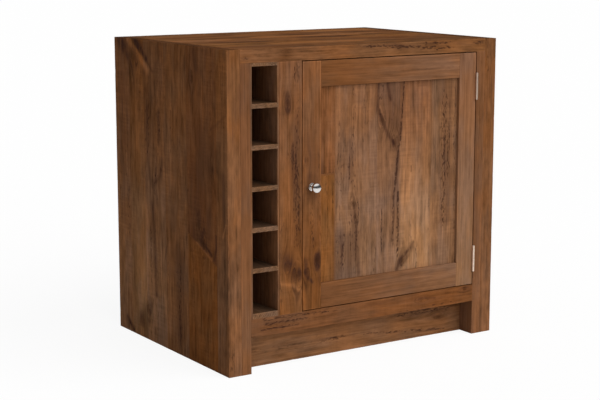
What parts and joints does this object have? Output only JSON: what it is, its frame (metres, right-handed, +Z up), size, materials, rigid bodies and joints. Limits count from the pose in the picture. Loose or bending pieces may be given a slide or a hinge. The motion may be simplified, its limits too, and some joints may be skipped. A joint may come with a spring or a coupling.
{
  "type": "base cabinet",
  "caption": "Rustic stained pine kitchen base cabinet with a column of bottle slots at the left and an inset frame-and-panel door hung at the right, with a chrome knob.",
  "frame": {"origin": "on the floor, in the middle of the box that the closed cabinet fills, knob included", "axes": "+X right along the front, +Y from the front to the back, +Z up; the front faces -Y"},
  "size_m": [0.9, 0.683, 0.87],
  "materials": {
    "stained_pine": "rough-sawn knotty pine, brown stain and wax",
    "panel_pine": "knotty pine planks, brown stain and wax",
    "rack_pine": "thin pine boards, brown stain and wax",
    "inner_pine": "pine boards, brown stain, little wax",
    "knob_chrome": "polished chrome",
    "hinge_nickel": "satin nickel plate",
    "zinc_steel": "bright zinc plate",
    "catch_plastic": "moulded brown plastic",
    "magnet": "sintered ferrite",
    "bumper": "soft clear buffer"
  },
  "bodies": {
    "carcass": {"back_board_1": "inner_pine", "back_board_2": "inner_pine", "back_board_3": "inner_pine", "back_board_4": "inner_pine", "back_board_5": "inner_pine", "back_board_6": "inner_pine", "back_board_screws": "zinc_steel", "bottom_rail": "stained_pine", "catch_housing": "catch_plastic", "catch_magnet": "magnet", "catch_screws": "zinc_steel", "cupboard_floor": "inner_pine", "cupboard_shelf": "inner_pine", "door_bumpers": "bumper", "door_stop": "inner_pine", "hinge_frame_screws": "zinc_steel", "left_cleat": "inner_pine", "left_front_post": "stained_pine", "left_gable": "stained_pine", "lower_hinge_frame_leaf": "hinge_nickel", "lower_hinge_pin": "hinge_nickel", "mid_stile": "stained_pine", "partition": "inner_pine", "plinth_board": "stained_pine", "rack_back": "rack_pine", "rack_divider_1": "rack_pine", "rack_divider_2": "rack_pine", "rack_divider_3": "rack_pine", "rack_divider_4": "rack_pine", "rack_divider_5": "rack_pine", "rack_floor": "rack_pine", "rack_left_wall": "rack_pine", "rack_right_wall": "rack_pine", "rack_roof": "rack_pine", "rear_bearer": "inner_pine", "right_cleat": "inner_pine", "right_front_post": "stained_pine", "right_gable": "stained_pine", "shelf_left_batten": "inner_pine", "shelf_right_batten": "inner_pine", "top_board": "stained_pine", "upper_hinge_frame_leaf": "hinge_nickel", "upper_hinge_pin": "hinge_nickel"},
    "door": {"door_left_stile": "stained_pine", "door_right_stile": "stained_pine", "door_top_rail": "stained_pine", "door_bottom_rail": "stained_pine", "door_panel": "panel_pine", "door_knob": "knob_chrome", "knob_screw": "zinc_steel", "upper_hinge_door_leaf": "hinge_nickel", "lower_hinge_door_leaf": "hinge_nickel", "hinge_door_screws": "zinc_steel", "catch_strike_plate": "zinc_steel", "strike_plate_screws": "zinc_steel"}
  },
  "joints": [
    {"name": "door_hinge", "type": "hinge", "parent": "carcass", "child": "door", "pos_m": [0.37875, -0.31205, 0.492], "axis": [0, 0, 1], "range_deg": [0, 180]}
  ]
}
